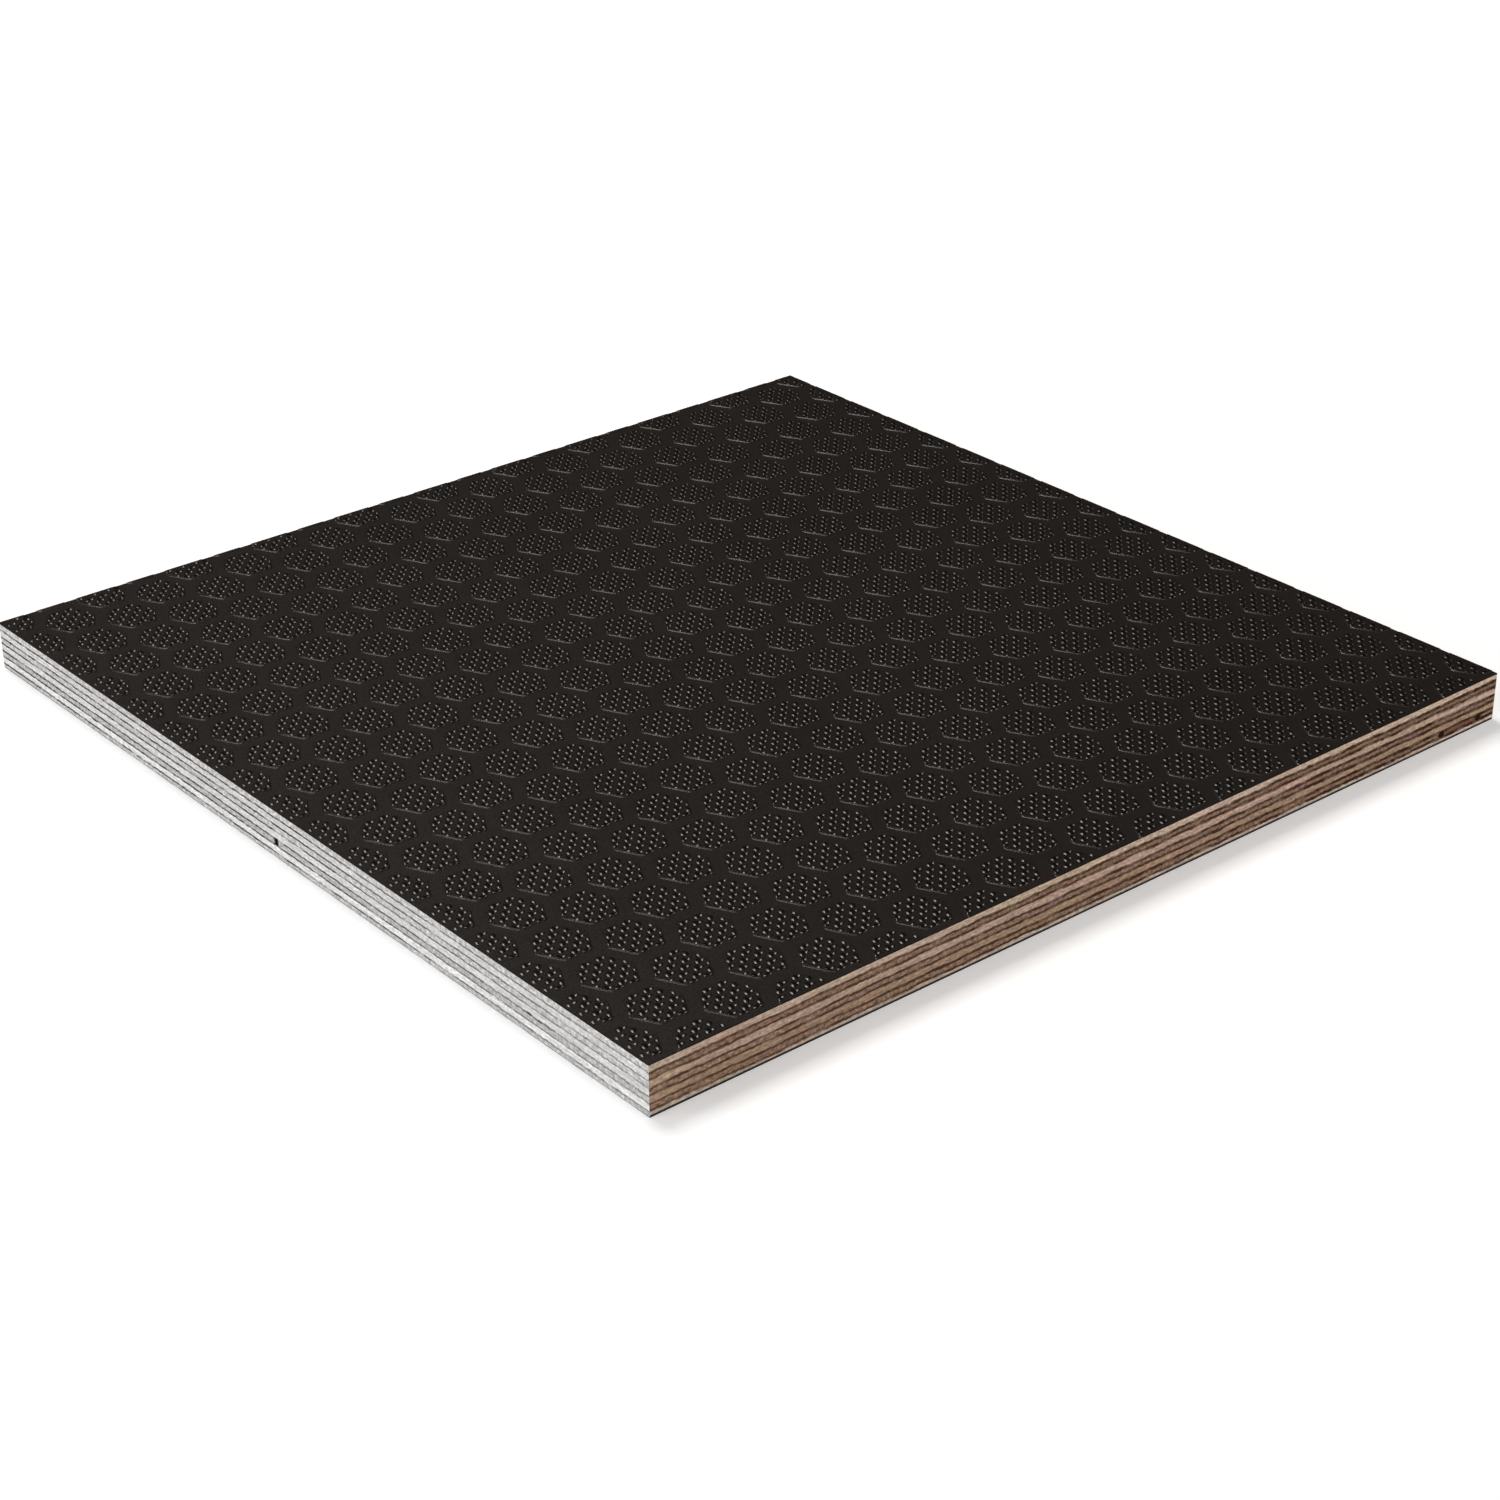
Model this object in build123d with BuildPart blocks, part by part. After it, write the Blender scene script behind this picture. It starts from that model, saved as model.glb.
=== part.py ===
from build123d import *
import math
import os

# Square sample sheet of birch plywood, with a film embossed with hexagon pads on its upper
# face and a smooth film on its underside. Lengths are in millimetres and +Z is up.
# The origin is at the middle of the underside, +X runs along the front edge.

# Sheet outline
sheet_length = 200.0
sheet_width = 200.0

# Layers, named from the underside up
backing_film_thickness = 0.2
back_veneer_thickness = 1.0
lower_crossband_thickness = 1.25
lower_core_thickness = 1.45
middle_crossband_thickness = 1.35
upper_core_thickness = 1.45
upper_crossband_thickness = 1.3
face_veneer_thickness = 1.3
antislip_film_thickness = 0.2

# Hexagon pads of the upper film: flats face the front and back edges, corners the sides
pad_relief = 0.2
pad_draft_angle = 30.0
pad_across_flats = 10.0
pad_across_corners = 10.6
pad_column_pitch = 9.93
pad_row_pitch = 12.0

# Centre of the pad nearest the front left corner, measured from the left and front edges
first_pad_from_left = 11.0
first_pad_from_front = 0.1

# Open joint between two strips of the lower core veneer, where it comes out at the left edge
core_gap_top_width = 1.1
core_gap_bottom_width = 0.7
core_gap_depth = 35.0
core_gap_from_front = 103.0

# Height of each layer's underside
layer_thicknesses = {
    "backing_film": backing_film_thickness,
    "back_veneer": back_veneer_thickness,
    "lower_crossband": lower_crossband_thickness,
    "lower_core": lower_core_thickness,
    "middle_crossband": middle_crossband_thickness,
    "upper_core": upper_core_thickness,
    "upper_crossband": upper_crossband_thickness,
    "face_veneer": face_veneer_thickness,
    "antislip_film": antislip_film_thickness,
}
layer_bottoms = {}
height = 0.0
for name, thickness in layer_thicknesses.items():
    layer_bottoms[name] = height
    height += thickness
film_top = height

left_edge = -sheet_length / 2
front_edge = -sheet_width / 2

os.makedirs("parts", exist_ok=True)

# Plain layers: the smooth film and the veneers that have no open joint
for name in layer_thicknesses:
    if name in ("lower_core", "antislip_film"):
        continue
    with BuildPart() as layer:
        with BuildSketch(Plane.XY.offset(layer_bottoms[name])):
            Rectangle(sheet_length, sheet_width)
        extrude(amount=layer_thicknesses[name])
    layer.part.label = name
    export_step(layer.part, f"parts/{name}.step")

# Lower core veneer: its two strips don't quite meet, and the gap closes inside the sheet
with BuildPart() as lower_core:
    with BuildSketch(Plane.XY.offset(layer_bottoms["lower_core"])):
        Rectangle(sheet_length, sheet_width)
    extrude(amount=lower_core_thickness)
    gap_mouth = Plane(
        origin=(left_edge, front_edge + core_gap_from_front, layer_bottoms["lower_core"]),
        x_dir=(0, 1, 0),
        z_dir=(1, 0, 0),
    )
    with BuildSketch(gap_mouth):
        with BuildLine():
            Polyline(
                (-core_gap_bottom_width / 2, 0),
                (core_gap_bottom_width / 2, 0),
                (core_gap_top_width / 2, lower_core_thickness),
                (-core_gap_top_width / 2, lower_core_thickness),
                close=True,
            )
        make_face()
    extrude(amount=core_gap_depth, mode=Mode.SUBTRACT)
lower_core.part.label = "lower_core"
export_step(lower_core.part, "parts/lower_core.step")

# Centres of all pads that reach onto the sheet: every second column is set half a row along
half_across_corners = pad_across_corners / 2
half_across_flats = pad_across_flats / 2
first_column = math.ceil((-half_across_corners - first_pad_from_left) / pad_column_pitch)
last_column = math.floor((sheet_length + half_across_corners - first_pad_from_left) / pad_column_pitch)
pad_centres = []
for column in range(first_column, last_column + 1):
    column_start = first_pad_from_front + (column % 2) * pad_row_pitch / 2
    first_row = math.ceil((-half_across_flats - column_start) / pad_row_pitch)
    last_row = math.floor((sheet_width + half_across_flats - column_start) / pad_row_pitch)
    for row in range(first_row, last_row + 1):
        pad_x = left_edge + first_pad_from_left + column * pad_column_pitch
        pad_y = front_edge + column_start + row * pad_row_pitch
        pad_centres.append((pad_x, pad_y))

# Upper film: drafted pads stand on a thin sheet, and the saw cut trims those at the edges
with BuildPart() as antislip_film:
    with BuildSketch(Plane.XY.offset(layer_bottoms["antislip_film"])):
        Rectangle(sheet_length, sheet_width)
    extrude(amount=antislip_film_thickness)
    with BuildSketch(Plane.XY.offset(film_top)):
        with Locations(*pad_centres):
            Polygon(
                (half_across_corners, 0),
                (half_across_corners / 2, half_across_flats),
                (-half_across_corners / 2, half_across_flats),
                (-half_across_corners, 0),
                (-half_across_corners / 2, -half_across_flats),
                (half_across_corners / 2, -half_across_flats),
            )
    extrude(amount=pad_relief, taper=pad_draft_angle)
    with BuildSketch(Plane.XY.offset(layer_bottoms["antislip_film"])):
        Rectangle(sheet_length, sheet_width)
    extrude(amount=antislip_film_thickness + pad_relief, mode=Mode.INTERSECT)
antislip_film.part.label = "antislip_film"
export_step(antislip_film.part, "parts/antislip_film.step")
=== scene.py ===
import math
import random

import bmesh
import bpy
from mathutils import Matrix, Vector


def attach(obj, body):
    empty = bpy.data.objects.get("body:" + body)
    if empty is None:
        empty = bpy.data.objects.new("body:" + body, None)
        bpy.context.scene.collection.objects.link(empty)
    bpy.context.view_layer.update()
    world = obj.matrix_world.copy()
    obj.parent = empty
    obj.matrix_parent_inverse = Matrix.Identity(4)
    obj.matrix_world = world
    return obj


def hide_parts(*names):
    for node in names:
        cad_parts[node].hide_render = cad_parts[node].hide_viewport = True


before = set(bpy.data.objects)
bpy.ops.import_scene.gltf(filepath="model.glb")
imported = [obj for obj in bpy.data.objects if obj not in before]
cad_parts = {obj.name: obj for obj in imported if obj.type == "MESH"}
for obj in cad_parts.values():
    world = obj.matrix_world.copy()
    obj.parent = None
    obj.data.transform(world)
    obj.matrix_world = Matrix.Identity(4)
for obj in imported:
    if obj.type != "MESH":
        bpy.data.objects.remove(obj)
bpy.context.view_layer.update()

MM = 0.001

# Sheet and layers, in millimetres, as in the solids
SHEET_HALF = 100.0
FILM_BOTTOM = 9.3
FILM_TOP = 9.5
# The print on the pads takes up the rest of the solid's height
PAD_TOP = 9.6

# Hexagon pads of the upper film
PAD_ACROSS_FLATS = 10.0
PAD_ACROSS_CORNERS = 10.6
PAD_COLUMN_PITCH = 9.93
PAD_ROW_PITCH = 12.0
FIRST_PAD_FROM_LEFT = 11.0
FIRST_PAD_FROM_FRONT = 0.1
PAD_CORNER_ROUNDING = 0.7
PAD_CORNER_PULL = 0.25
# Pad flank from the channel up to the flat top: inset from the outline and share of the relief
PAD_FLANK = ((0.0, 0.0), (0.03, 0.11), (0.077, 0.5), (0.116, 0.9), (0.14, 1.0), (0.2, 1.0))

FILM_SHARP_ANGLE = 50.0
CUT_TOLERANCE = 1e-7
# Heights between which the film's colour turns from the channel's to the pad's
CHANNEL_COLOUR_TOP = 9.52
PAD_COLOUR_FOOT = 9.585

# Print of a woven mesh on the pads: two kinds of knuckle take turns on a square grid
MESH_PITCH_X = 1.5
MESH_PITCH_Y = 1.535
MESH_ORIGIN = (-0.22, -0.42)
# Grid steps on each side of a pad's centre that are tried for a knuckle
MESH_REACH = 5
# Shares of its distance to which a knuckle beyond the rim is drawn in, tried in turn
DRAWN_IN = (1.0, 0.97, 0.94)
WARP_PARITY = 0
WEFT_PARITY = 1
WEFT_SHIFT = (-0.2, 0.0)
KNUCKLE_SEGMENTS = 8
KNUCKLE_RIM_CLEARANCE = 0.18
KNUCKLE_JITTER = 0.015
KNUCKLE_HEIGHT_SPREAD = (0.94, 1.06)
KNUCKLE_SHARP_ANGLE = 70.0
KNUCKLE_SINK = 0.012
SAW_CLEARANCE = 0.3
# Each knuckle from its foot to its top: reach from the middle and share of the height
KNUCKLE_PROFILE = ((1.0, 0.0), (0.36, 0.73))
# Painted shade: near-black spots beside the knuckles, set into the pad's flat top, standing in for the
# shade beside the print's relief
SHADE_SPOT_LIFT = 0.005
SHADE_SPOT_DEPTH = 0.03
SHADE_SPOT_SHIFT = (0.12, 0.0)

# Camera, from the photo's corners
CAMERA_PLACE = (-338.18, -408.17, 268.37)
CAMERA_PITCH = 27.904
CAMERA_AZIMUTH = 39.953
CAMERA_ROLL = -0.301
CAMERA_LENS = 75.241
CAMERA_SENSOR = 36.0

# Stage: floor in millimetres, and levels of light at which 1 is white
FLOOR_HALF = 1200.0
FLOOR_LIFT_NEAR = 0.3
FLOOR_LIFT_FAR = 1.0
# Distances from the middle, in metres, between which the floor's lift grows
FLOOR_LIFT_START = 0.22
FLOOR_LIFT_END = 0.6
WORLD_LEVEL = 0.16
WORLD_LEVEL_MIRRORED = 0.03
LIGHT_DISTANCE = 2.5


class Shading:
    """The nodes of one material or world, with short calls that add to them."""

    def __init__(self, tree):
        self.nodes = tree.nodes
        self.links = tree.links
        self.coordinates = self.nodes.new("ShaderNodeTexCoord")

    def feed(self, socket, value):
        """Gives a socket a number, a colour or another node's output."""
        if isinstance(value, (int, float, tuple)):
            socket.default_value = value
        else:
            self.links.new(value, socket)

    def axes(self, output):
        """The three parts of the object-space place or normal."""
        split = self.nodes.new("ShaderNodeSeparateXYZ")
        self.links.new(self.coordinates.outputs[output], split.inputs["Vector"])
        return split.outputs

    def noise(self, scale, detail=3.0, roughness=0.55):
        """Noise over object space, with its scale for each axis in cycles per metre."""
        mapping = self.nodes.new("ShaderNodeMapping")
        mapping.inputs["Scale"].default_value = scale
        self.links.new(self.coordinates.outputs["Object"], mapping.inputs["Vector"])
        texture = self.nodes.new("ShaderNodeTexNoise")
        texture.inputs["Scale"].default_value = 1.0
        texture.inputs["Detail"].default_value = detail
        texture.inputs["Roughness"].default_value = roughness
        self.links.new(mapping.outputs["Vector"], texture.inputs["Vector"])
        return texture.outputs["Fac"]

    def remap(self, value, low, high, new_low, new_high, smooth=False):
        """A value carried from one range to another and held inside it."""
        node = self.nodes.new("ShaderNodeMapRange")
        node.interpolation_type = "SMOOTHSTEP" if smooth else "LINEAR"
        node.inputs["From Min"].default_value = low
        node.inputs["From Max"].default_value = high
        node.inputs["To Min"].default_value = new_low
        node.inputs["To Max"].default_value = new_high
        self.feed(node.inputs["Value"], value)
        return node.outputs["Result"]

    def math(self, operation, first, second=0.0):
        """One sum on two values."""
        node = self.nodes.new("ShaderNodeMath")
        node.operation = operation
        self.feed(node.inputs[0], first)
        self.feed(node.inputs[1], second)
        return node.outputs["Value"]

    def mix(self, factor, first, second):
        """Two colours mixed by a factor."""
        node = self.nodes.new("ShaderNodeMix")
        node.data_type = "RGBA"
        self.feed(node.inputs[0], factor)
        self.feed(node.inputs[6], first)
        self.feed(node.inputs[7], second)
        return node.outputs[2]

    def blend(self, factor, first, second):
        """Two numbers mixed by a factor."""
        node = self.nodes.new("ShaderNodeMix")
        self.feed(node.inputs[0], factor)
        self.feed(node.inputs[2], first)
        self.feed(node.inputs[3], second)
        return node.outputs[0]

    def shade(self, colour, amount):
        """A colour made lighter or darker by an amount."""
        node = self.nodes.new("ShaderNodeVectorMath")
        node.operation = "SCALE"
        self.feed(node.inputs[0], colour)
        self.feed(node.inputs["Scale"], amount)
        return node.outputs[0]

    def tint(self, colour, filter_colour):
        """A colour seen through another."""
        node = self.nodes.new("ShaderNodeVectorMath")
        node.operation = "MULTIPLY"
        self.feed(node.inputs[0], colour)
        self.feed(node.inputs[1], filter_colour)
        return node.outputs[0]

    def steps(self, value, steps, interpolation="LINEAR"):
        """Colours along a value, from a list of positions and colours."""
        ramp = self.nodes.new("ShaderNodeValToRGB")
        ramp.color_ramp.interpolation = interpolation
        elements = ramp.color_ramp.elements
        while len(elements) < len(steps):
            elements.new(0.5)
        for element, (position, colour) in zip(elements, steps):
            element.position = position
            element.color = (*colour, 1.0)
        self.feed(ramp.inputs["Fac"], value)
        return ramp.outputs["Color"]

    def bump(self, height, distance, strength):
        """A normal with fine relief from a height value."""
        node = self.nodes.new("ShaderNodeBump")
        node.inputs["Strength"].default_value = strength
        node.inputs["Distance"].default_value = distance
        self.feed(node.inputs["Height"], height)
        return node.outputs["Normal"]


def new_material(name):
    """A material, its nodes and its Principled shader."""
    material = bpy.data.materials.new(name)
    material.use_nodes = True
    shading = Shading(material.node_tree)
    return material, shading, material.node_tree.nodes["Principled BSDF"]


# Films


def antislip_material():
    """Dark brown film, satin on top and dull where it is sawn."""
    material, look, shader = new_material("antislip_film_satin")
    cloud = look.noise((55, 55, 55), detail=4.0)
    # The channels are lighter than the pads: partly the film's own tone, partly painted sheen for the
    # haze the channels show under the lights
    channel = look.steps(cloud, [(0.3, (0.0112, 0.0078, 0.0060)), (0.7, (0.0145, 0.0102, 0.0081))])
    pad = look.steps(cloud, [(0.3, (0.0085, 0.0059, 0.0046)), (0.7, (0.0115, 0.0081, 0.0064))])
    height = look.axes("Object")["Z"]
    on_pad = look.remap(height, CHANNEL_COLOUR_TOP * MM, PAD_COLOUR_FOOT * MM, 0.0, 1.0)
    look.feed(shader.inputs["Base Color"], look.mix(on_pad, channel, pad))
    grain = look.noise((2600, 2600, 2600), detail=2.0)
    satin = look.remap(grain, 0.3, 0.7, 0.25, 0.33)
    sawn = look.remap(grain, 0.3, 0.7, 0.75, 0.9)
    level = look.math("GREATER_THAN", look.axes("Normal")["Z"], 0.3)
    look.feed(shader.inputs["Roughness"], look.blend(level, sawn, satin))
    look.feed(shader.inputs["Specular IOR Level"], look.remap(level, 0.0, 1.0, 0.1, 0.5))
    fine = look.noise((3800, 3800, 3800), detail=2.0)
    look.feed(shader.inputs["Normal"], look.bump(fine, 0.000012, 0.5))
    return material


def shade_spot_material():
    """Dull, nearly black film for the painted shade beside the knuckles of the print."""
    material, look, shader = new_material("antislip_film_painted_shade")
    cloud = look.noise((700, 700, 700), detail=3.0)
    tones = [(0.3, (0.0008, 0.0006, 0.0005)), (0.7, (0.0016, 0.0012, 0.001))]
    look.feed(shader.inputs["Base Color"], look.steps(cloud, tones))
    look.feed(shader.inputs["Roughness"], look.remap(cloud, 0.3, 0.7, 0.5, 0.65))
    shader.inputs["Specular IOR Level"].default_value = 0.06
    fine = look.noise((3000, 3000, 3000), detail=2.0)
    look.feed(shader.inputs["Normal"], look.bump(fine, 0.00001, 0.5))
    return material


def backing_material():
    """Smooth dark film of the underside, with a paler torn edge at the sawn sides."""
    material, look, shader = new_material("backing_film_smooth")
    cloud = look.noise((40, 40, 40), detail=4.0)
    dark = look.steps(cloud, [(0.3, (0.009, 0.0075, 0.007)), (0.7, (0.016, 0.013, 0.0115))])
    side = look.math("GREATER_THAN", look.math("ABSOLUTE", look.axes("Normal")["X"]), 0.5)
    tear = look.remap(look.noise((300, 300, 4000)), 0.35, 0.6, 0.3, 1.0)
    torn = look.math("MULTIPLY", side, tear)
    look.feed(shader.inputs["Base Color"], look.mix(torn, dark, (0.5, 0.49, 0.48, 1.0)))
    under = look.math("ABSOLUTE", look.axes("Normal")["Z"])
    sawn = look.remap(cloud, 0.3, 0.7, 0.7, 0.85)
    smooth = look.remap(cloud, 0.3, 0.7, 0.28, 0.38)
    look.feed(shader.inputs["Roughness"], look.blend(under, sawn, smooth))
    look.feed(shader.inputs["Specular IOR Level"], look.remap(under, 0.0, 1.0, 0.1, 0.5))
    fine = look.noise((900, 900, 900))
    look.feed(shader.inputs["Normal"], look.bump(fine, 0.00003, 0.4))
    return material


# Veneers

# Heights of the glue lines, as they come out at the front and back edges and at the side edges
FRONT_BOUNDARIES = (1.2, 2.44, 3.98, 5.2, 6.78, 7.96)
SIDE_BOUNDARIES = (1.02, 2.48, 3.74, 5.28, 6.57, 8.04)
# Colour of each veneer from the underside up; the underside veneer is made paler, partly painted light
# that lifts the shade near the floor
FRONT_TONES = (
    (0.88, 0.735, 0.62),
    (0.42, 0.27, 0.19),
    (0.56, 0.39, 0.275),
    (0.38, 0.25, 0.185),
    (0.66, 0.48, 0.385),
    (0.33, 0.21, 0.145),
    (0.74, 0.575, 0.465),
)
# Partly painted light: the side edges get pale, greyish tones for the cool bright light that falls on
# the left edge
SIDE_TONES_WITH_PAINTED_LIGHT = (
    (0.55, 0.545, 0.54),
    (0.78, 0.765, 0.75),
    (0.49, 0.48, 0.47),
    (0.67, 0.655, 0.64),
    (0.56, 0.548, 0.535),
    (0.65, 0.636, 0.62),
    (0.57, 0.558, 0.545),
)
FRONT_GLUE = (0.05, 0.0145, 0.004, 1.0)
SIDE_GLUE = (0.012, 0.011, 0.01, 1.0)
# Height in millimetres at the end of the colour ramps
RAMP_HEIGHT = 10.0
# Depth from the edge at which a surface counts as the inside of the open joint
JOINT_LIP = 0.2
# Marks on the front edge: place along it, height, half width, half height, colour and strength
FRONT_MARKS = (
    (90.3, 1.83, 4.6, 0.55, (0.24, 0.10, 0.055, 1.0), 0.65),
    (85.0, 1.85, 0.9, 0.8, (0.035, 0.008, 0.003, 1.0), 1.0),
    (95.5, 1.85, 0.9, 0.8, (0.035, 0.008, 0.003, 1.0), 1.0),
)
# Marks on the left edge, in the same order
SIDE_MARKS = (
    (1.2, 3.74, 1.2, 0.22, (0.50, 0.49, 0.48, 1.0), 0.9),
    # Painted shade: the black oval at 2.45 mm stands for the dark mouth of the hole in the left edge
    (2.45, 3.2, 0.42, 0.78, (0.012, 0.011, 0.01, 1.0), 1.0),
    (65.0, 2.3, 1.2, 0.2, (0.03, 0.026, 0.022, 1.0), 1.0),
    (-70.0, 3.85, 0.8, 0.28, (0.09, 0.05, 0.03, 1.0), 1.0),
    (-72.6, 3.6, 0.6, 0.22, (0.10, 0.065, 0.045, 1.0), 0.9),
)


def tone_steps(boundaries, tones):
    """Ramp steps that give each veneer its colour by height."""
    starts = (0.0,) + tuple(height / RAMP_HEIGHT for height in boundaries)
    return list(zip(starts, tones))


def nearest_boundary(look, level, boundaries):
    """Distance in millimetres from the nearest glue line."""
    nearest = None
    for height in boundaries:
        away = look.math("ABSOLUTE", look.math("SUBTRACT", level, height))
        nearest = away if nearest is None else look.math("MINIMUM", nearest, away)
    return nearest


def add_marks(look, colour, along, height, on_face, marks):
    """Small stains and knots with soft ragged outlines, over a colour."""
    ragged = look.remap(look.noise((1500, 1500, 1500)), 0.25, 0.75, -0.4, 0.4)
    for place, level, half_width, half_height, stain, strength in marks:
        across = look.math("DIVIDE", look.math("SUBTRACT", along, place), half_width)
        upward = look.math("DIVIDE", look.math("SUBTRACT", height, level), half_height)
        across_squared = look.math("MULTIPLY", across, across)
        upward_squared = look.math("MULTIPLY", upward, upward)
        reach = look.math("ADD", look.math("ADD", across_squared, upward_squared), ragged)
        stained = look.remap(reach, 0.6, 1.2, strength, 0.0, smooth=True)
        colour = look.mix(look.math("MULTIPLY", stained, on_face), colour, stain)
    return colour


def veneer_material(name):
    """Sawn birch veneers with their glue lines, told apart by height and by the way the edge faces; the
    side edges' paler, cooler colour is partly painted light.
    """
    material, look, shader = new_material(name)
    place = look.axes("Object")
    facing = look.axes("Normal")
    side = look.math("GREATER_THAN", look.math("ABSOLUTE", facing["X"]), 0.5)
    left_edge = look.math("GREATER_THAN", look.math("MULTIPLY", facing["X"], -1.0), 0.5)
    front_edge = look.math("GREATER_THAN", look.math("MULTIPLY", facing["Y"], -1.0), 0.5)
    along_x = look.math("DIVIDE", place["X"], MM)
    along_y = look.math("DIVIDE", place["Y"], MM)
    height = look.math("DIVIDE", place["Z"], MM)

    # The veneers wander a little in height, and the saw cut leaves their borders ragged
    wander = look.remap(look.noise((30, 30, 170), detail=3.0), 0.25, 0.75, -0.17, 0.17)
    ragged = look.remap(look.noise((850, 850, 700)), 0.25, 0.75, -0.12, 0.12)
    waver = look.remap(look.noise((150, 150, 420), detail=3.0), 0.28, 0.72, -0.2, 0.2)
    wander = look.math("ADD", wander, look.math("MULTIPLY", waver, look.math("SUBTRACT", 1.0, side)))
    wander = look.math("MULTIPLY", wander, look.remap(side, 0.0, 1.0, 1.0, 0.5))
    level = look.math("ADD", look.math("ADD", height, wander), ragged)
    share = look.math("DIVIDE", level, RAMP_HEIGHT)
    front_tone = look.steps(share, tone_steps(FRONT_BOUNDARIES, FRONT_TONES), "CONSTANT")
    side_tone = look.steps(share, tone_steps(SIDE_BOUNDARIES, SIDE_TONES_WITH_PAINTED_LIGHT), "CONSTANT")
    black = (0.0, 0.0, 0.0)
    white = (1.0, 1.0, 1.0)
    parity = (black, white, black, white, black, white, black)
    crossband = look.steps(share, tone_steps(FRONT_BOUNDARIES, parity), "CONSTANT")
    end_grain = look.math("ABSOLUTE", look.math("SUBTRACT", side, crossband))
    tone = look.mix(side, front_tone, side_tone)

    # The front edge gains contrast to the right, and its wood is redder or yellower in patches; the
    # side edges are made a little lighter and cooler instead, as painted light
    to_right = look.remap(along_x, -SHEET_HALF, SHEET_HALF, 0.0, 1.0)
    pale_gain = look.remap(to_right, 0.0, 1.0, 0.95, 1.16)
    dark_gain = look.remap(to_right, 0.0, 1.0, 1.14, 1.0)
    gain = look.blend(side, look.blend(crossband, pale_gain, dark_gain), 1.06)
    hue = look.noise((42, 42, 420), detail=3.0)
    hues = [(0.36, (1.0, 0.93, 0.90)), (0.5, (0.98, 0.97, 0.96)), (0.64, (0.98, 0.97, 0.87))]
    patches = look.mix(look.math("MULTIPLY", side, 0.94), look.steps(hue, hues), (0.99, 0.99, 1.0, 1.0))
    tone = look.tint(look.shade(tone, gain), patches)

    # Streaks along the grain, mottled end grain, fine fibres and slow patches of colour
    streak = look.noise((130, 130, 2500), detail=4.0, roughness=0.65)
    mottle = look.noise((1300, 1300, 1500), detail=4.0, roughness=0.7)
    fibre = look.noise((1000, 1000, 2400), detail=3.0, roughness=0.7)
    patch = look.noise((60, 60, 300))
    long_shade = look.remap(streak, 0.36, 0.64, 0.76, 1.18)
    end_shade = look.remap(mottle, 0.37, 0.63, 0.52, 1.44)
    grain_shade = look.blend(end_grain, long_shade, end_shade)
    fibre_shade = look.remap(fibre, 0.37, 0.63, 0.68, 1.27)
    patch_shade = look.remap(patch, 0.3, 0.7, 0.92, 1.06)
    amount = look.math("MULTIPLY", look.math("MULTIPLY", grain_shade, fibre_shade), patch_shade)
    softened = look.remap(amount, 0.5, 1.5, 0.64, 1.4)
    amount = look.blend(side, amount, softened)
    wood = look.shade(tone, amount)

    # Glue lines, dark at the front and back edges, thin and broken at the side edges
    break_up = look.noise((230, 230, 260), detail=4.0, roughness=0.65)
    dashes = look.noise((170, 170, 500), detail=4.0, roughness=0.75)
    front_gap = nearest_boundary(look, level, FRONT_BOUNDARIES)
    front_gap = look.math("MULTIPLY", front_gap, look.remap(to_right, 0.0, 1.0, 1.04, 0.66))
    front_line = look.remap(front_gap, 0.15, 0.3, 1.0, 0.0, smooth=True)
    front_glue = look.math("MULTIPLY", front_line, look.remap(break_up, 0.36, 0.54, 0.5, 1.0))
    front_glue = look.math("MULTIPLY", front_glue, look.remap(to_right, 0.0, 1.0, 0.84, 1.0))
    front_glue = look.math("MAXIMUM", front_glue, look.remap(height, 0.36, 0.52, 0.95, 0.0))
    side_gap = nearest_boundary(look, level, SIDE_BOUNDARIES)
    side_gap = look.math("MULTIPLY", side_gap, look.remap(along_y, -SHEET_HALF, SHEET_HALF, 0.98, 0.8))
    side_line = look.remap(side_gap, 0.1, 0.19, 1.0, 0.0, smooth=True)
    side_glue = look.math("MULTIPLY", side_line, look.remap(dashes, 0.37, 0.5, 0.3, 1.0))
    side_glue = look.math("MULTIPLY", side_glue, look.remap(along_y, -SHEET_HALF, 0.0, 0.6, 1.0))
    glued_front = look.mix(front_glue, wood, FRONT_GLUE)
    glued_side = look.mix(side_glue, wood, SIDE_GLUE)
    marked_front = add_marks(look, glued_front, along_x, height, front_edge, FRONT_MARKS)
    marked_side = add_marks(look, glued_side, along_y, height, left_edge, SIDE_MARKS)
    surface = look.mix(side, marked_front, marked_side)

    # Painted shade: inside the open joint the wood is darkened for the dark in there
    from_middle = look.math("MAXIMUM", look.math("ABSOLUTE", along_x), look.math("ABSOLUTE", along_y))
    in_joint = look.math("LESS_THAN", from_middle, SHEET_HALF - JOINT_LIP)
    joint_shade = look.remap(in_joint, 0.0, 1.0, 1.0, 0.04)
    look.feed(shader.inputs["Base Color"], look.shade(surface, joint_shade))

    # Rough sawn finish
    look.feed(shader.inputs["Roughness"], look.remap(streak, 0.3, 0.7, 0.62, 0.8))
    shader.inputs["Specular IOR Level"].default_value = 0.1
    saw = look.noise((1500, 1500, 160))
    tooth = look.math("ADD", saw, look.math("MULTIPLY", amount, 0.8))
    look.feed(shader.inputs["Normal"], look.bump(tooth, 0.00015, 0.6))
    return material


# Upper film with rounded pads


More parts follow.
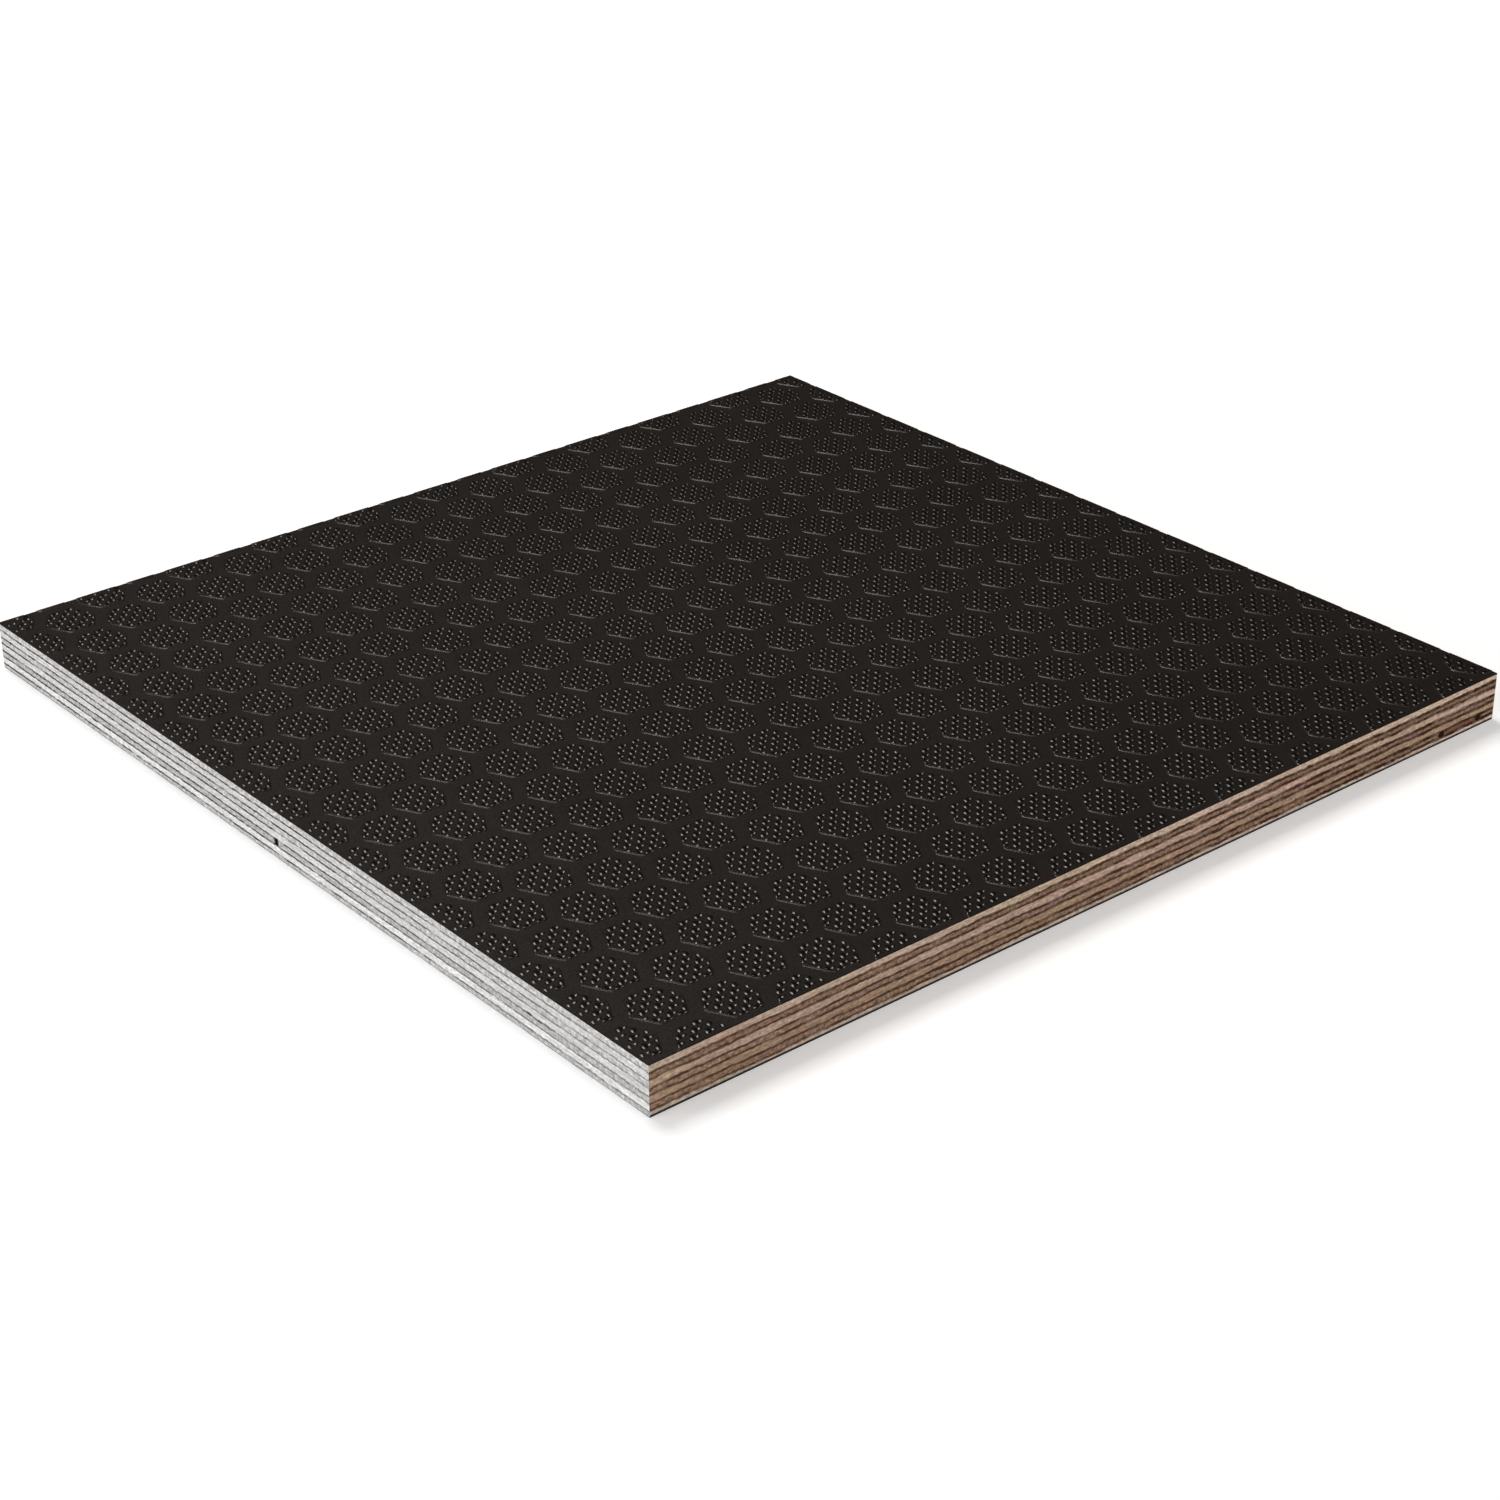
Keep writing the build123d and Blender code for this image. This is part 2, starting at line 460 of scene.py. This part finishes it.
def pad_centres():
    """Centres of all pads that reach onto the sheet, as in the solid."""
    half_corners = PAD_ACROSS_CORNERS / 2
    half_flats = PAD_ACROSS_FLATS / 2
    span = 2 * SHEET_HALF
    first_column = math.ceil((-half_corners - FIRST_PAD_FROM_LEFT) / PAD_COLUMN_PITCH)
    last_column = math.floor((span + half_corners - FIRST_PAD_FROM_LEFT) / PAD_COLUMN_PITCH)
    centres = []
    for column in range(first_column, last_column + 1):
        start = FIRST_PAD_FROM_FRONT + (column % 2) * PAD_ROW_PITCH / 2
        first_row = math.ceil((-half_flats - start) / PAD_ROW_PITCH)
        last_row = math.floor((span + half_flats - start) / PAD_ROW_PITCH)
        for row in range(first_row, last_row + 1):
            x = -SHEET_HALF + FIRST_PAD_FROM_LEFT + column * PAD_COLUMN_PITCH
            y = -SHEET_HALF + start + row * PAD_ROW_PITCH
            centres.append((x, y))
    return centres


def pad_outline(inset):
    """Outline of a pad moved inwards by an inset, with rounded corners."""
    half_corners = PAD_ACROSS_CORNERS / 2
    half_flats = PAD_ACROSS_FLATS / 2
    slant = math.hypot(half_flats, half_corners / 2)
    flats = half_flats - inset
    corners = half_corners - inset * slant / half_flats
    shoulder = corners - flats * (half_corners / 2) / half_flats
    hexagon = [
        Vector((corners, 0.0)),
        Vector((shoulder, flats)),
        Vector((-shoulder, flats)),
        Vector((-corners, 0.0)),
        Vector((-shoulder, -flats)),
        Vector((shoulder, -flats)),
    ]
    points = []
    for index, corner in enumerate(hexagon):
        before = (hexagon[index - 1] - corner).normalized() * PAD_CORNER_ROUNDING
        after = (hexagon[(index + 1) % 6] - corner).normalized() * PAD_CORNER_ROUNDING
        points.append(corner + before)
        points.append(corner + (before + after) * PAD_CORNER_PULL)
        points.append(corner + after)
    return points


def mesh_object(name, vertices, faces):
    """An object from points in millimetres and its faces."""
    mesh = bpy.data.meshes.new(name)
    mesh.from_pydata([(x * MM, y * MM, z * MM) for x, y, z in vertices], [], faces)
    piece = bpy.data.objects.new(name, mesh)
    bpy.context.scene.collection.objects.link(piece)
    return piece


def saw_to_sheet(mesh):
    """Trims a mesh at the sheet's four edges and closes the cuts."""
    shape = bmesh.new()
    shape.from_mesh(mesh)
    edge = SHEET_HALF * MM
    for direction in ((1, 0, 0), (-1, 0, 0), (0, 1, 0), (0, -1, 0)):
        cut = bmesh.ops.bisect_plane(
            shape,
            geom=shape.verts[:] + shape.edges[:] + shape.faces[:],
            dist=CUT_TOLERANCE,
            plane_co=Vector(direction) * edge,
            plane_no=direction,
            clear_outer=True,
        )
        cut_edges = [item for item in cut["geom_cut"] if isinstance(item, bmesh.types.BMEdge)]
        bmesh.ops.holes_fill(shape, edges=cut_edges, sides=0)
    bmesh.ops.recalc_face_normals(shape, faces=shape.faces[:])
    shape.to_mesh(mesh)
    shape.free()


def film_skin():
    """Film with pads that rise on rounded flanks, trimmed by the saw cut."""
    vertices = []
    faces = []
    rings = []
    for inset, rise in PAD_FLANK:
        height = FILM_TOP + rise * (PAD_TOP - FILM_TOP)
        rings.append([(point.x, point.y, height) for point in pad_outline(inset)])
    count = len(rings[0])
    for x, y in pad_centres():
        start = len(vertices)
        for ring in rings:
            vertices.extend((x + px, y + py, pz) for px, py, pz in ring)
        for level in range(len(rings) - 1):
            lower = start + level * count
            upper = lower + count
            for index in range(count):
                after = (index + 1) % count
                faces.append((lower + index, lower + after, upper + after, upper + index))
        faces.append(tuple(start + index for index in reversed(range(count))))
        top = start + (len(rings) - 1) * count
        faces.append(tuple(top + index for index in range(count)))
    piece = mesh_object("antislip_film_skin", vertices, faces)
    saw_to_sheet(piece.data)
    shape = bmesh.new()
    shape.from_mesh(piece.data)
    size = (2 * SHEET_HALF * MM, 2 * SHEET_HALF * MM, (FILM_TOP - FILM_BOTTOM) * MM)
    middle = (0.0, 0.0, (FILM_TOP + FILM_BOTTOM) / 2 * MM)
    matrix = Matrix.Translation(middle) @ Matrix.Diagonal((*size, 1.0))
    bmesh.ops.create_cube(shape, size=1.0, matrix=matrix)
    shape.to_mesh(piece.data)
    shape.free()
    piece.data.shade_smooth()
    piece.data.set_sharp_from_angle(angle=math.radians(FILM_SHARP_ANGLE))
    return piece


# Mesh print on the pads


def inside_pad(x, y):
    """True where a point is on a pad's flat top."""
    half_corners = PAD_ACROSS_CORNERS / 2
    half_flats = PAD_ACROSS_FLATS / 2
    slant = math.hypot(half_flats, half_corners / 2)
    across = (abs(x) * half_flats + abs(y) * half_corners / 2) / slant
    reach = half_corners * half_flats / slant
    return across <= reach - KNUCKLE_RIM_CLEARANCE and abs(y) <= half_flats - KNUCKLE_RIM_CLEARANCE


def held_on_pad(place, offset):
    """A point beside a place, drawn in towards it until it is on the pad."""
    for tenths in range(10, 0, -1):
        x = place[0] + offset[0] * tenths / 10
        y = place[1] + offset[1] * tenths / 10
        if inside_pad(x, y):
            return x, y
    return place


def knuckle_places(parity):
    """Places of one kind of knuckle about a pad's centre."""
    places = []
    for column in range(-MESH_REACH, MESH_REACH + 1):
        for row in range(-MESH_REACH, MESH_REACH + 1):
            if (column + row) % 2 != parity:
                continue
            x = MESH_ORIGIN[0] + column * MESH_PITCH_X + parity * WEFT_SHIFT[0]
            y = MESH_ORIGIN[1] + row * MESH_PITCH_Y + parity * WEFT_SHIFT[1]
            for drawn_in in DRAWN_IN:
                if inside_pad(x * drawn_in, y * drawn_in):
                    places.append((x * drawn_in, y * drawn_in))
                    break
    return places


def oval(place, half_width, half_length, turn):
    """Outline of an oval about a place on a pad, held on the pad."""
    points = []
    for index in range(KNUCKLE_SEGMENTS):
        angle = 2 * math.pi * index / KNUCKLE_SEGMENTS
        offset = Vector((half_width * math.cos(angle), half_length * math.sin(angle)))
        offset.rotate(Matrix.Rotation(turn, 2))
        points.append(held_on_pad(place, offset))
    return points


def on_sheet(points):
    """True where all points are on the sheet and clear of the saw cut."""
    limit = SHEET_HALF - SAW_CLEARANCE
    return all(abs(x) < limit and abs(y) < limit for x, y in points)


def knuckles(name, parity, half_width, half_length, height, turn, seed):
    """All knuckles of one kind, as low domes on the pads."""
    draw = random.Random(seed)
    shapes = []
    for place in knuckle_places(parity):
        rings = []
        for reach, _ in KNUCKLE_PROFILE:
            rings.append(oval(place, half_width * reach, half_length * reach, turn))
        shapes.append((place, rings))
    vertices = []
    faces = []
    for centre_x, centre_y in pad_centres():
        for place, rings in shapes:
            x = centre_x + draw.uniform(-KNUCKLE_JITTER, KNUCKLE_JITTER)
            y = centre_y + draw.uniform(-KNUCKLE_JITTER, KNUCKLE_JITTER)
            rise = height * draw.uniform(*KNUCKLE_HEIGHT_SPREAD)
            if not on_sheet([(x + px, y + py) for px, py in rings[0]]):
                continue
            start = len(vertices)
            foot = PAD_TOP - KNUCKLE_SINK
            for ring, (_, share) in zip(rings, KNUCKLE_PROFILE):
                level = foot + rise * share
                vertices.extend((x + px, y + py, level) for px, py in ring)
            vertices.append((x + place[0], y + place[1], foot + rise))
            apex = len(vertices) - 1
            for index in range(KNUCKLE_SEGMENTS):
                after = (index + 1) % KNUCKLE_SEGMENTS
                low = start + index
                low_after = start + after
                high = low + KNUCKLE_SEGMENTS
                high_after = low_after + KNUCKLE_SEGMENTS
                faces.append((low, low_after, high_after, high))
                faces.append((high, high_after, apex))
            faces.append(tuple(start + index for index in reversed(range(KNUCKLE_SEGMENTS))))
    piece = mesh_object(name, vertices, faces)
    piece.data.shade_smooth()
    piece.data.set_sharp_from_angle(angle=math.radians(KNUCKLE_SHARP_ANGLE))
    return piece


def shade_spots(name, parity, half_width, half_length, turn):
    """Spots of painted shade beside one kind of knuckle, as thin dark oval lenses set into the pads."""
    shapes = []
    for x, y in knuckle_places(parity):
        middle = held_on_pad((x, y), SHADE_SPOT_SHIFT)
        shapes.append((middle, oval(middle, half_width, half_length, turn)))
    vertices = []
    faces = []
    for centre_x, centre_y in pad_centres():
        for middle, outline in shapes:
            points = [(centre_x + px, centre_y + py) for px, py in outline]
            if not on_sheet(points):
                continue
            start = len(vertices)
            vertices.extend((px, py, PAD_TOP + SHADE_SPOT_LIFT) for px, py in points)
            vertices.append((centre_x + middle[0], centre_y + middle[1], PAD_TOP - SHADE_SPOT_DEPTH))
            foot = len(vertices) - 1
            faces.append(tuple(range(start, start + KNUCKLE_SEGMENTS)))
            for index in range(KNUCKLE_SEGMENTS):
                after = (index + 1) % KNUCKLE_SEGMENTS
                faces.append((start + after, start + index, foot))
    return mesh_object(name, vertices, faces)


# Stage: floor, world, lights and camera


def build_floor():
    """Wide pale floor that shows white and keeps the sheet's soft shadow."""
    corners = [(x * FLOOR_HALF, y * FLOOR_HALF, 0.0) for x, y in ((-1, -1), (1, -1), (1, 1), (-1, 1))]
    floor = mesh_object("floor", corners, [(0, 1, 2, 3)])
    material, look, shader = new_material("floor_white")
    shader.inputs["Base Color"].default_value = (0.8, 0.8, 0.8, 1.0)
    shader.inputs["Roughness"].default_value = 0.9
    shader.inputs["Specular IOR Level"].default_value = 0.0
    shader.inputs["Emission Color"].default_value = (1.0, 1.0, 1.0, 1.0)
    path = look.nodes.new("ShaderNodeLightPath")
    place = look.axes("Object")
    across_squared = look.math("MULTIPLY", place["X"], place["X"])
    along_squared = look.math("MULTIPLY", place["Y"], place["Y"])
    away = look.math("SQRT", look.math("ADD", across_squared, along_squared))
    reach = (FLOOR_LIFT_START, FLOOR_LIFT_END)
    lift = look.remap(away, *reach, FLOOR_LIFT_NEAR, FLOOR_LIFT_FAR, smooth=True)
    seen_lift = look.math("MULTIPLY", path.outputs["Is Camera Ray"], lift)
    look.feed(shader.inputs["Emission Strength"], seen_lift)
    floor.data.materials.append(material)


def build_world():
    """White for the camera, and plain soft light of a lower level for everything else."""
    world = bpy.data.worlds.new("studio")
    world.use_nodes = True
    look = Shading(world.node_tree)
    background = look.nodes["Background"]
    background.inputs["Color"].default_value = (1.0, 1.0, 1.0, 1.0)
    path = look.nodes.new("ShaderNodeLightPath")
    glossy = path.outputs["Is Glossy Ray"]
    around = look.remap(glossy, 0.0, 1.0, WORLD_LEVEL, WORLD_LEVEL_MIRRORED)
    seen = look.math("MAXIMUM", path.outputs["Is Camera Ray"], around)
    look.feed(background.inputs["Strength"], seen)
    bpy.context.scene.world = world


def soft_light(name, direction, size, level, colour, mirrored=True):
    """A square soft light that faces the sheet and shows a white card at the given level."""
    data = bpy.data.lights.new(name, "AREA")
    data.shape = "SQUARE"
    data.size = size
    data.energy = level * (math.pi * LIGHT_DISTANCE) ** 2
    data.color = colour
    light = bpy.data.objects.new(name, data)
    towards = Vector(direction).normalized()
    light.location = towards * LIGHT_DISTANCE
    light.rotation_euler = towards.to_track_quat("Z", "Y").to_euler()
    light.visible_glossy = mirrored
    bpy.context.scene.collection.objects.link(light)


def build_lights():
    """Warm light high at the back, cool light low on the left and a warm fill from the front right.

    Most of the left light is kept out of reflections, or the film would turn silver in low views.
    """
    soft_light(
        "high_back",
        direction=(0.06, 0.46, 0.885),
        size=1.0,
        level=0.6,
        colour=(1.0, 0.955, 0.91),
    )
    soft_light(
        "low_left",
        direction=(-0.9, 0.12, 0.4),
        size=2.4,
        level=0.66,
        colour=(0.95, 0.97, 1.0),
        mirrored=False,
    )
    soft_light(
        "left_sheen",
        direction=(-0.9, 0.12, 0.36),
        size=2.2,
        level=0.13,
        colour=(1.0, 0.98, 0.95),
    )
    soft_light(
        "fill",
        direction=(0.5, -0.8, 0.5),
        size=2.8,
        level=0.3,
        colour=(1.0, 0.96, 0.92),
    )


def build_camera():
    """Camera at the photo's viewpoint."""
    pitch = math.radians(CAMERA_PITCH)
    azimuth = math.radians(CAMERA_AZIMUTH)
    roll = math.radians(CAMERA_ROLL)
    level_forward = Vector((math.sin(azimuth), math.cos(azimuth), 0.0))
    forward = level_forward * math.cos(pitch) - Vector((0.0, 0.0, math.sin(pitch)))
    level_right = Vector((math.cos(azimuth), -math.sin(azimuth), 0.0))
    level_up = level_right.cross(forward)
    right = level_right * math.cos(roll) + level_up * math.sin(roll)
    up = level_up * math.cos(roll) - level_right * math.sin(roll)
    data = bpy.data.cameras.new("camera")
    data.lens = CAMERA_LENS
    data.sensor_width = CAMERA_SENSOR
    data.clip_start = 0.01
    data.clip_end = 50.0
    camera = bpy.data.objects.new("camera", data)
    turn = Matrix((right, up, -forward)).transposed().to_4x4()
    camera.matrix_world = Matrix.Translation(Vector(CAMERA_PLACE) * MM) @ turn
    bpy.context.scene.collection.objects.link(camera)
    bpy.context.scene.camera = camera


def dress(name, material):
    """Gives a CAD node its material."""
    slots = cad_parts[name].data.materials
    if len(slots) == 0:
        slots.append(material)
    for index in range(len(slots)):
        slots[index] = material


build_camera()
build_floor()
build_world()
build_lights()

film = antislip_material()
skin = film_skin()
skin.data.materials.append(film)
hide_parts("antislip_film")
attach(skin, "root")

warp = knuckles(
    "warp_knuckles",
    parity=WARP_PARITY,
    half_width=0.4,
    half_length=0.84,
    height=0.162,
    turn=math.radians(-8),
    seed=11,
)
weft = knuckles(
    "weft_knuckles",
    parity=WEFT_PARITY,
    half_width=0.44,
    half_length=0.57,
    height=0.16,
    turn=math.radians(-60),
    seed=12,
)
# Near-black spots of painted shade beside the warp knuckles
painted_shade_spots = shade_spots(
    "painted_shade_spots",
    parity=WARP_PARITY,
    half_width=0.62,
    half_length=1.0,
    turn=math.radians(-40),
)
warp.data.materials.append(film)
weft.data.materials.append(film)
painted_shade_spots.data.materials.append(shade_spot_material())
for piece in (warp, weft, painted_shade_spots):
    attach(piece, "root")

dress("backing_film", backing_material())
long_grain = veneer_material("birch_long_grain")
cross_grain = veneer_material("birch_cross_grain")
for node in ("back_veneer", "lower_core", "upper_core", "face_veneer"):
    dress(node, long_grain)
for node in ("lower_crossband", "middle_crossband", "upper_crossband"):
    dress(node, cross_grain)

bpy.context.scene.view_settings.view_transform = "Standard"
